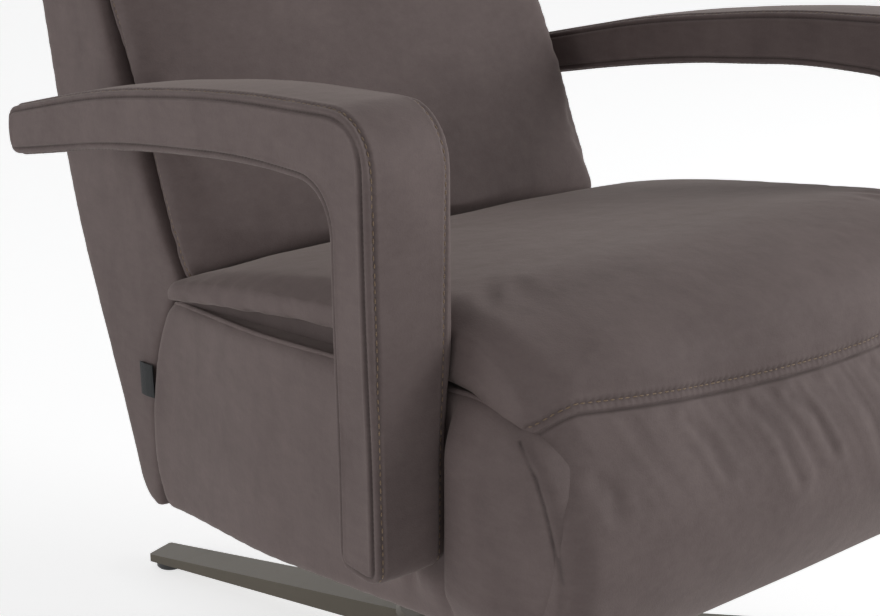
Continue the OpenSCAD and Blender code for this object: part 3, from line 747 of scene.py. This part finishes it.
class RECLINER_OT_seat(Operator):
    """Seat cushion with its rolled front"""
    bl_idname = "recliner.seat"
    bl_label = "Seat cushion"

    def execute(self, context):
        leather = context.scene.recliner_leather
        padding = context.scene.recliner_padding
        crown, corner_drop = 9 * MM, 7 * MM
        seat = even(block("seat_leather", SEAT, -SEAT_HALF, SEAT_HALF, 11, segments=6), 5.0, 6)

        def shape(co, normal):
            u = min(1.0, abs(co.x) / (SEAT_HALF * MM))
            y, z = seam_at(co.x)
            front = ease((-0.325 - co.y) / 0.09)
            co.y += (y - SEAM_Y * MM) * front
            co.z += (z - SEAM_Z * MM) * front * ease((0.462 - co.z) / 0.035)
            up = max(0.0, normal.z) * ease((co.z - 0.405) / 0.03)
            thick = ease((-co.y + 0.05) / 0.25)
            co.z += up * (crown * (1 - u ** 3) - corner_drop * thick * ease((u - 0.88) / 0.12) ** 2)
            return co

        reshape(seat, shape)

        def held(co):
            low = 0.412 + 0.075 * max(0.0, -co.y - 0.05)
            lip = ease((-0.375 - co.y) / 0.02) * ease((0.440 - co.z) / 0.012)
            return max(1.0 if co.z < low and co.y > -0.36 else 0.0, lip)

        fill(seat, padding.seat_cap, held=held)
        finer(seat)
        soften(seat, 2)
        seam = even_line(seam_line(0.266))
        cover = surface_of(seat)
        sewn = even_line([cover.find_nearest(p)[0] for p in seam_line(0.2635, 0.0015, leather.margin)])
        refine(seat, [seam, sewn], 0.0075, 0.0015)
        refine(seat, [seam], 0.0036, 0.0009)

        def settle(co, normal):
            top = max(0.0, normal.z)
            sag = noise.noise(Vector((co.x * 4.5, co.y * 5, 3.0))) * 1.3
            ripple = noise.noise(Vector((co.x * 17, co.y * 12, 9.0))) * 0.5
            co += normal * (sag + ripple) * top * MM
            co += normal * wrinkle(co, 30, 10, 1.7, 0.060) * 1.1 * MM
            return co

        reshape(seat, settle)
        # The creases below also paint shade into the stitch line and the seam.
        crease(seat, sewn, 0.0011, 0.0017, 0.0006, 0.35)
        gather(seat, sewn, leather.pitch, 0.0006, 0.0042)
        crease(seat, seam, 0.0024, 0.0011, 0.0008, 1.0)
        # Painted light, partly wear: the seat's upward faces are made lighter.
        tint(seat, "wear_and_light", lambda co, n: 0.55 * max(0.0, n.z) ** 2)
        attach(seat, "seat")
        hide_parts("seat_cushion")
        stitches("seat_stitches", seat, [sewn], "seat")
        return {"FINISHED"}


class RECLINER_OT_footrest(Operator):
    """Footrest pad below the cross seam"""
    bl_idname = "recliner.footrest"
    bl_label = "Footrest pad"

    # how far back the front goes at the corners, in millimetres, at each height in metres
    BACK = ((0.250, 18), (0.300, 24), (0.330, 24), (0.355, 29), (0.380, 32), (0.400, 33),
            (0.412, 37), (0.430, 38))
    # each fold's upper end (x, z), its lower end and its width, in millimetres
    FOLDS = ((118, 417, 150, 352, 5.0), (78, 416, 112, 366, 4.0), (40, 414, 82, 345, 5.5),
             (-4, 412, 40, 334, 6.5), (-52, 412, -22, 362, 4.5), (-92, 414, -60, 350, 5.0),
             (-150, 416, -128, 372, 4.5), (-238, 398, -226, 372, 5.5))
    # the line (y, z) where the pad meets the carcass
    CORNER = ((-398, 412.5), (-414, 393), (-421, 377.5), (-428.5, 355.7), (-434.5, 336), (-436.5, 325),
              (-434, 308), (-429, 296), (-420, 280))

    def execute(self, context):
        padding = context.scene.recliner_padding
        deepest = self.BACK[-1][1] * MM
        pad = even(block("footrest_leather", FOOT, -FOOT_HALF, FOOT_HALF, 3), 4.2, 3)

        def shape(co, normal):
            t = min(1.0, abs(co.x) / (FOOT_HALF * MM))
            y, z = seam_at(co.x)
            top = ease((co.z - 0.350) / 0.055)
            rounded = 1 - math.sqrt(1 - ease((t - 0.925) / 0.075) * 0.98)
            share = (1 - top) * (0.42 * t ** 4 + 0.58 * rounded)
            share += top * (y - SEAM_Y * MM) / deepest
            front = max(ease((co.z - 0.385) / 0.02), ease((-0.422 - co.y) / 0.018))
            co.y += table(self.BACK, co.z) * MM * share * front
            co.z += (z - SEAM_Z * MM) * ease((co.z - 0.396) / 0.014)
            return co

        reshape(pad, shape)
        fill(pad, padding.seat_cap * 0.5,
             held=lambda co: 1.0 if co.z > 0.392 or co.y > -0.438 or abs(co.x) > 0.262 else 0.0)
        finer(pad)
        seam = even_line(seam_line(0.267))
        refine(pad, [seam], 0.0036, 0.0010)

        def settle(co, normal):
            co += normal * noise.noise(Vector((co.x * 6, co.z * 7, 4.0))) * 1.5 * MM
            co += normal * wrinkle(co, 62, 6, 8.2, 0.115) * 2.4 * MM
            return co

        reshape(pad, settle)
        edge = even_line([Vector((sign * (FOOT_HALF - 0.5) * MM, y * MM, z * MM)) for sign in (1, -1)
                          for y, z in self.CORNER])
        # Painted shade along the pad's edge and its seam, and faintly along the folds.
        crease(pad, edge, 0.0008, 0.0022, 0.0, 0.8)
        for fold in self.FOLDS:
            crease(pad, self.fold_line(surface_of(pad), fold), 0.0011, fold[-1] * MM, 0.0007, 0.10)
        crease(pad, seam, 0.0013, 0.0010, 0.0, 1.0)
        # Painted light, partly wear: the upper part of the front is made lighter, the lower part stays
        # darker.
        tint(pad, "wear_and_light", lambda co, n: 0.3 * max(0.0, -n.y) ** 2 * ease((co.z - 0.3) / 0.1))
        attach(pad, "footrest")
        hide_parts("footrest_pad")
        return {"FINISHED"}

    @staticmethod
    def fold_line(cover, fold):
        """Places on the front of the pad along a fold (x, z, x, z, width), which sways a little."""
        x0, z0, x1, z1, _ = fold
        count, front, sway = 24, -0.452, 0.004
        line = []
        for k in range(count):
            s = k / (count - 1)
            x = (x0 + (x1 - x0) * s) * MM + sway * math.sin(s * 5)
            z = (z0 + (z1 - z0) * s) * MM
            line.append(cover.find_nearest(Vector((x, front, z)))[0])
        return even_line(line)


class RECLINER_OT_carcass(Operator):
    """Padded sides of the seat, their welts and the lining strips beside the cushion"""
    bl_idname = "recliner.carcass"
    bl_label = "Carcass sides"

    WELT_FRONT, WELT_REAR, WELT_RADIUS = -0.372, 0.074, 0.0020
    # outline (y, z) of the lining strips that close the view between the seat and the carcass, darkened
    # with painted shade
    LINING = ((-345, 420), (60, 376), (60, 398), (-50, 418), (-190, 441), (-345, 436))

    @staticmethod
    def drawn_in(y):
        """How far the side stands in from its front part, at that y."""
        return 18 * MM * ease((y + 0.12) / 0.21)

    def execute(self, context):
        side = block("carcass_leather_left", CARCASS, CARCASS_INNER, CARCASS_OUTER, 8, segments=6)
        even(side, 3.6, 5)

        def shape(co, normal):
            outer = min(1.0, max(0.0, (co.x - 0.240) / 0.024))
            drawn = self.drawn_in(co.y)
            low = ease((0.436 - co.z) / 0.05) * ease((co.z - 0.255) / 0.04)
            ahead = ease((-0.331 - co.y) / 0.008) * ease((co.y + 0.437) / 0.075)
            behind = ease((co.y + 0.290) / 0.012) * ease((-0.10 - co.y) / 0.17)
            under = ease((-0.286 - co.y) / 0.02) * ease((co.y + 0.335) / 0.02) * ease((0.304 - co.z) / 0.02)
            co.x += outer * (low * (15 * ahead + 7 * behind + 9 * under) * MM - drawn)
            co.x += outer * 1.0 * MM * noise.noise(Vector((co.y * 8, co.z * 8, 2.0)))
            return co

        reshape(side, shape)
        cover = surface_of(side)
        front = even_line([cover.find_nearest(Vector((CARCASS_OUTER, y, z)) * MM)[0]
                           for y, z in RECLINER_OT_footrest.CORNER])
        refine(side, [front], 0.008, 0.0014)
        # Painted shade along the front crease.
        crease(side, front, 0.0012, 0.0013, 0.0, 0.9)
        # The side is made lighter towards the bottom, on the mark of wear and painted light.
        tint(side, "wear_and_light", lambda co, n: 0.25 * ease((0.30 - co.z) / 0.06))
        twin = mirrored(side, "carcass_leather_right")
        for name, x0, x1 in (("left", 220, 247), ("right", -247, -220)):
            lining = block(f"seat_lining_{name}", [(y, z, 2) for y, z in self.LINING], x0, x1, 3)
            # Painted shade: the whole lining strip is marked as groove, so it renders darkened like a
            # recess in shade.
            tint(lining, "groove", lambda co, n: 0.6)
            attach(lining, "seat")
        for obj, node, sign in ((side, "carcass_left", 1), (twin, "carcass_right", -1)):
            cord_of(f"welt_{'left' if sign > 0 else 'right'}", self.top_edge(surface_of(obj), sign),
                    self.WELT_RADIUS, "leather", "seat")
            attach(obj, "seat")
            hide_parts(node)
        return {"FINISHED"}

    def top_edge(self, cover, sign):
        """Places along the outer top edge of a carcass side, evened out over seven of them."""
        count, each_way = 100, 3
        edge = []
        for k in range(count):
            y = self.WELT_FRONT + (self.WELT_REAR - self.WELT_FRONT) * k / (count - 1)
            z = 0.4325 - (y + 0.375) * 0.0985
            edge.append(cover.find_nearest(Vector((sign * (0.2655 - self.drawn_in(y)), y, z)))[0])
        beside = [edge[max(0, k - each_way):k + each_way + 1] for k in range(count)]
        return [sum(some, Vector()) / len(some) for some in beside]


class RECLINER_OT_arms(Operator):
    """Bent arms with a sewn band"""
    bl_idname = "recliner.arms"
    bl_label = "Arms"

    def execute(self, context):
        leather = context.scene.recliner_leather
        arm = even(block("arm_leather_left", ARM, ARM_INNER, ARM_OUTER, 6.5, segments=6), 3.2, 2)
        edge = curve_of(ARM)
        panel = shrunk(edge, 5.2 * MM)
        middle, reach = 0.3034, 0.033

        def taper(co):
            inner = max(0.0, min(1.0, (middle - co.x) / reach))
            outer = max(0.0, min(1.0, (co.x - middle) / reach))
            post = ease((-0.24 - co.y) / 0.04)
            co.x += inner * post * (8 * ease((0.475 - co.z) / 0.09) + 2 * ease((0.40 - co.z) / 0.09)) * MM
            co.x -= outer * post * 3 * ease((0.52 - co.z) / 0.16) * MM
            return co

        def puff(co, normal):
            across = (co.x - middle) / reach
            if abs(normal.x) < 0.5:
                co += normal * 1.3 * MM * (1 - across * across)
            co += normal * 0.7 * MM * noise.noise(Vector((co.y * 11 + co.x * 9, co.z * 11, 1.0)))
            return taper(co)

        reshape(arm, puff)
        inner, outer = ARM_INNER * MM, ARM_OUTER * MM
        grooves = [[taper(p) for p in line_at(panel, x)] for x in (inner + 0.4 * MM, outer - 0.4 * MM)]
        margin = leather.margin * 0.75
        cover = surface_of(arm)
        sewn = []
        for x in (outer - margin, inner + margin):
            line = [cover.find_nearest(taper(Vector((x, q.x, q.y))))[0] for q in edge]
            sewn.append(even_line(line + [line[0]]))
        refine(arm, grooves + sewn, 0.0065, 0.0013)
        # Painted shade in the grooves and, less, along the stitching.
        for line in grooves:
            crease(arm, line, 0.0019, 0.0012, 0.0007, 1.0)
        for line in sewn:
            crease(arm, line, 0.0009, 0.0013, 0.0004, 0.45)
            gather(arm, line, leather.pitch, 0.0004, 0.0025)
        # Painted light, partly wear: the tops and the upper fronts of the arms are made lighter.
        tint(arm, "wear_and_light", lambda co, n: 0.55 * max(0.0, n.z) ** 2
             + 0.5 * max(0.0, -n.y) ** 2 * ease((co.z - 0.50) / 0.12))
        twin = mirrored(arm, "arm_leather_right")
        for obj, node in ((arm, "arm_left"), (twin, "arm_right")):
            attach(obj, "seat")
            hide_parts(node)
        stitches("arm_stitches_left", arm, sewn, "seat")
        stitches("arm_stitches_right", twin,
                 [[Vector((-p.x, p.y, p.z)) for p in line] for line in sewn], "seat")
        return {"FINISHED"}


class RECLINER_OT_back(Operator):
    """Upholstered shell, back cushion, side seams and tag"""
    bl_idname = "recliner.back"
    bl_label = "Back"

    # the way out of the front of the back, forward and up
    AHEAD, RISE = 0.93, 0.35
    # the middle (y, z) of the wings' round edges and their radii, in millimetres
    WING_HINGE, WING_REACH, WING_EDGE = (86, 212), 166, 22

    def execute(self, context):
        self.shell()
        self.wings()
        self.cushion(context.scene.recliner_leather, context.scene.recliner_padding)
        self.tag()
        return {"FINISHED"}

    @staticmethod
    def shell():
        """Upholstered shell, hollow for the frame."""
        shell = block("shell_leather", SHELL, -247, 247, 14, segments=6)
        hollow = block("shell_hollow", [(10, 198, 0), (119, 198, 0), (227, 448, 0), (367, 1030, 0),
                                        (10, 1030, 0)], -224, 224, 0)
        cut = shell.modifiers.new("Hollow", "BOOLEAN")
        cut.operation, cut.solver, cut.object = "DIFFERENCE", "EXACT", hollow
        bake(shell)
        bpy.data.objects.remove(hollow)
        even(shell, 5.0, 4)
        reshape(shell, lambda co, n: co + n * 0.8 * MM * noise.noise(co * 8))
        # The shell's rear faces are made lighter, on the mark of wear and painted light.
        tint(shell, "wear_and_light", lambda co, n: 0.2 * max(0.0, n.y) ** 2)
        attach(shell, "back")
        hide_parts("back_shell")

    def wings(self):
        """Leather flaps that close the sides between the back and the seat."""
        y, z = self.WING_HINGE

        def around(radius, angle):
            turn = math.radians(angle)
            return y + radius * math.cos(turn), z + radius * math.sin(turn), 0

        wing = [around(self.WING_REACH, angle) for angle in range(98, 129, 5)]
        wing += [around(self.WING_EDGE, 128), (72, 207, 4), (86, 197, 6), (99, 204.5, 4), (109, 240, 10),
                 (111, 290, 10), (94, 345, 0)]
        for sign, name in ((1, "left"), (-1, "right")):
            x0, x1 = sorted((sign * 218, sign * 225))
            flap = block(f"shell_wing_{name}", wing, x0, x1, 1.5)
            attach(flap, "back")

    def cushion(self, leather, padding):
        """Back cushion with its side seams."""
        cushion = even(block("back_leather", BACK, -BACK_HALF, BACK_HALF, 12, segments=6), 6.0, 8)

        def crown(co, normal):
            u = min(1.0, abs(co.x) / (BACK_HALF * MM))
            ahead = max(0.0, -normal.y * self.AHEAD + normal.z * -0.05)
            share = 20 * MM * (1 - u ** 2.4) * ahead
            co.y -= share * self.AHEAD
            co.z += share * self.RISE
            return co

        reshape(cushion, crown)
        fill(cushion, padding.back_cap, held=lambda co: 1.0 if self.before(co) < 0.006 else 0.0)
        finer(cushion)

        def settle(co, normal):
            co += normal * 2.0 * MM * noise.noise(Vector((co.x * 5, co.z * 4, 7.0)))
            co += normal * 0.5 * MM * noise.noise(Vector((co.x * 26, co.z * 19, 2.0)))
            return co

        reshape(cushion, settle)
        groove = curve_of(GROOVE, closed=False)
        cover = surface_of(cushion)
        lines = []
        side, inset = 0.2445, 8 * MM
        for sign in (1, -1):
            path = [Vector((sign * side, q.x - inset * self.AHEAD, q.y + inset * self.RISE))
                    for q in groove]
            lines.append(even_line([cover.find_nearest(p)[0] for p in path]))
        refine(cushion, lines, 0.007, 0.0015)
        # Painted shade along the stitch lines.
        for sewn in lines:
            crease(cushion, sewn, 0.0010, 0.0016, 0.0005, 0.4)
            gather(cushion, sewn, leather.pitch, 0.0005, 0.0030)
        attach(cushion, "back")
        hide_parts("back_cushion")
        stitches("back_stitches", cushion, lines, "back")

    def before(self, co):
        """Distance in front of the plane of the side seams."""
        y = 0.184 + (co.z - 0.632) * 0.38
        return (y - co.y) * self.AHEAD

    @staticmethod
    def tag():
        """Folded woven loop in the seam, plain on both faces."""
        bm = bmesh.new()
        bmesh.ops.create_cube(bm, size=1, matrix=Matrix.Translation((-0.2492, 0.1145, 0.304))
                              @ Matrix.Rotation(math.radians(-4), 4, "X")
                              @ Matrix.Diagonal((0.0016, 0.022, 0.030, 1)))
        bmesh.ops.bevel(bm, geom=bm.edges[:], offset=0.0006, offset_type="OFFSET", segments=3, profile=0.5,
                        affect="EDGES", material=-1)
        bmesh.ops.subdivide_edges(bm, edges=bm.edges[:], cuts=3, use_grid_fill=True)
        for v in bm.verts:
            v.co.x -= 0.0010 * math.sin((v.co.y - 0.104) * 150)
        obj = put(bm, "seam_tag", "tag_ribbon")
        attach(obj, "back")


class RECLINER_OT_headrest(Operator):
    """Headrest pad"""
    bl_idname = "recliner.headrest"
    bl_label = "Headrest"

    def execute(self, context):
        lean = math.radians(20)
        pivot = Vector((251, 900))

        def corner(a, b, s):
            return (pivot.x + a * math.cos(lean) + b * math.sin(lean),
                    pivot.y - a * math.sin(lean) + b * math.cos(lean), s)

        outline = [corner(-29, -30, 28), corner(30, -30, 28), corner(31, 136, 18), corner(-29, 142, 22)]
        pad = even(block("headrest_leather", outline, -HEAD_HALF, HEAD_HALF, 14, segments=6), 5.5, 8)
        reshape(pad, lambda co, n: co + n * 5 * MM * (1 - min(1.0, abs(co.x) / (HEAD_HALF * MM)) ** 2.4)
                * max(0.0, -n.y))
        fill(pad, 0.004)
        finer(pad)
        reshape(pad, lambda co, n: co + n * 0.9 * MM * noise.noise(Vector((co.x * 9, co.z * 9, 3.0))))
        for sign in (1, -1):
            ring = line_at(shrunk(curve_of(outline), 5 * MM), sign * (HEAD_HALF - 4.5) * MM)
            refine(pad, [ring], 0.007, 0.0015)
            # Painted shade in the groove, at full strength.
            crease(pad, ring, 0.0022, 0.0018, 0.0005)
        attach(pad, "headrest")
        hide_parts("headrest_pad")
        return {"FINISHED"}


class RECLINER_OT_hardware(Operator):
    """Finishes of the base, the mechanism and the switches"""
    bl_idname = "recliner.hardware"
    bl_label = "Base and mechanism"

    def execute(self, context):
        slots = {s["node"]: s["material_slot"] for s in frame["record"]["subparts"]}
        for name, obj in frame["nodes"].items():
            finish = finish_of(slots[name])
            if not obj.data.materials:
                obj.data.materials.append(finish)
            for i in range(len(obj.data.materials)):
                obj.data.materials[i] = finish
        return {"FINISHED"}


class RECLINER_OT_stage(Operator):
    """Floor, lamps, world and camera"""
    bl_idname = "recliner.stage"
    bl_label = "Stage"

    FLOOR_SIZE, FLOOR_GLOW, LAMP_SIZE = 14, 0.66, 2.2
    # the camera fitted to the photograph: its place in metres and its turns in degrees
    PLACE = (-0.965754, -1.166586, 0.836773)
    TURNS = (-38.828, 13.049, -0.197)
    # the picture's size, and the point in it that the camera looks straight at, in pixels
    PICTURE, CENTRE = (880, 616), (424.925, 160.194)

    def execute(self, context):
        scene, settings = context.scene, context.scene.recliner_stage
        self.floor()
        self.world(scene, settings)
        self.lamps(settings)
        self.camera(scene, settings)
        scene.view_settings.view_transform = "Standard"
        return {"FINISHED"}

    def floor(self):
        """White floor that shows no horizon."""
        bm = bmesh.new()
        bmesh.ops.create_grid(bm, x_segments=1, y_segments=1, size=self.FLOOR_SIZE)
        mesh = bpy.data.meshes.new("floor")
        bm.to_mesh(mesh)
        bm.free()
        floor = linked("floor", mesh)
        paint = Finish("studio_floor", Roughness=0.6, Specular_IOR_Level=0.2)
        paint.shader.inputs["Base Color"].default_value = (0.86, 0.86, 0.86, 1)
        paint.shader.inputs["Emission Color"].default_value = (1, 1, 1, 1)
        glow = shown(paint.tree) * self.FLOOR_GLOW
        paint.tree.links.new(glow.socket, paint.shader.inputs["Emission Strength"])
        mesh.materials.append(paint.material)

    @staticmethod
    def world(scene, settings):
        """Soft light from all round in front of a white background."""
        world = bpy.data.worlds.new("studio")
        scene.world = world
        world.use_nodes = True
        tree = world.node_tree
        tree.nodes.clear()
        plain = shown(tree)
        soft = make(tree, "ShaderNodeBackground", None,
                    {"Color": (0.98, 0.985, 1.0, 1), "Strength": settings.ambient})
        white = make(tree, "ShaderNodeBackground", None, {"Color": (1, 1, 1, 1), "Strength": 1.0})
        both = make(tree, "ShaderNodeMixShader", None, {0: plain, 1: soft, 2: white})
        end = tree.nodes.new("ShaderNodeOutputWorld")
        tree.links.new(both.socket, end.inputs[0])

    def lamps(self, settings):
        """Three square lamps that face the seat."""
        target = Vector((0, -0.05, 0.5))
        for name, place, power in (("key", (2.8, -2.4, 2.0), settings.key),
                                   ("side", (-2.8, 0.3, 0.35), settings.side),
                                   ("front", (-0.6, -3.2, 0.4), settings.side * 0.2)):
            lamp = bpy.data.lights.new(name, "AREA")
            lamp.shape, lamp.energy = "RECTANGLE", power
            lamp.size = lamp.size_y = self.LAMP_SIZE
            obj = linked(name, lamp)
            obj.location = place
            obj.rotation_euler = (target - Vector(place)).to_track_quat("-Z", "Y").to_euler()

    def camera(self, scene, settings):
        """The photographer's camera."""
        az, el, roll = (math.radians(a) for a in self.TURNS)
        back = Vector((math.sin(az) * math.cos(el), -math.cos(az) * math.cos(el), math.sin(el)))
        right = Vector((math.cos(az), math.sin(az), 0))
        up = back.cross(right)
        rolled_right = right * math.cos(roll) + up * math.sin(roll)
        rolled_up = up * math.cos(roll) - right * math.sin(roll)
        turn = Matrix((rolled_right, rolled_up, back)).transposed().to_4x4()
        cam = bpy.data.cameras.new("camera")
        cam.sensor_width, cam.lens = 36.0, settings.lens
        width, height = self.PICTURE
        cam.shift_x = (width / 2 - self.CENTRE[0]) / width
        cam.shift_y = -(height / 2 - self.CENTRE[1]) / width
        cam.clip_start, cam.clip_end = 0.05, 60
        eye = linked("camera", cam)
        eye.matrix_world = Matrix.Translation(self.PLACE) @ turn
        scene.camera = eye


class RECLINER_PT_panel(Panel):
    """Lists the pieces of the chair"""
    bl_idname = "RECLINER_PT_panel"
    bl_label = "Star Base Recliner"
    bl_space_type = "VIEW_3D"
    bl_region_type = "UI"
    bl_category = "Recliner"

    def draw(self, context):
        scene = context.scene
        for group in (scene.recliner_leather, scene.recliner_padding, scene.recliner_stage):
            box = self.layout.box()
            for key in group.bl_rna.properties.keys():
                if key not in ("rna_type", "name"):
                    box.prop(group, key)
        for name in ORDER:
            self.layout.operator(f"recliner.{name}")


ORDER = ("stage", "hardware", "seat", "footrest", "carcass", "arms", "back", "headrest")
CLASSES = (ReclinerLeather, ReclinerPadding, ReclinerStage, RECLINER_OT_seat, RECLINER_OT_footrest,
           RECLINER_OT_carcass, RECLINER_OT_arms, RECLINER_OT_back, RECLINER_OT_headrest,
           RECLINER_OT_hardware, RECLINER_OT_stage, RECLINER_PT_panel)


def register():
    for cls in CLASSES:
        bpy.utils.register_class(cls)
    bpy.types.Scene.recliner_leather = PointerProperty(type=ReclinerLeather)
    bpy.types.Scene.recliner_padding = PointerProperty(type=ReclinerPadding)
    bpy.types.Scene.recliner_stage = PointerProperty(type=ReclinerStage)


def unregister():
    del bpy.types.Scene.recliner_stage
    del bpy.types.Scene.recliner_padding
    del bpy.types.Scene.recliner_leather
    for cls in reversed(CLASSES):
        bpy.utils.unregister_class(cls)


def main():
    register()
    for name in ORDER:
        getattr(bpy.ops.recliner, name)()


if __name__ == "__main__":
    main()
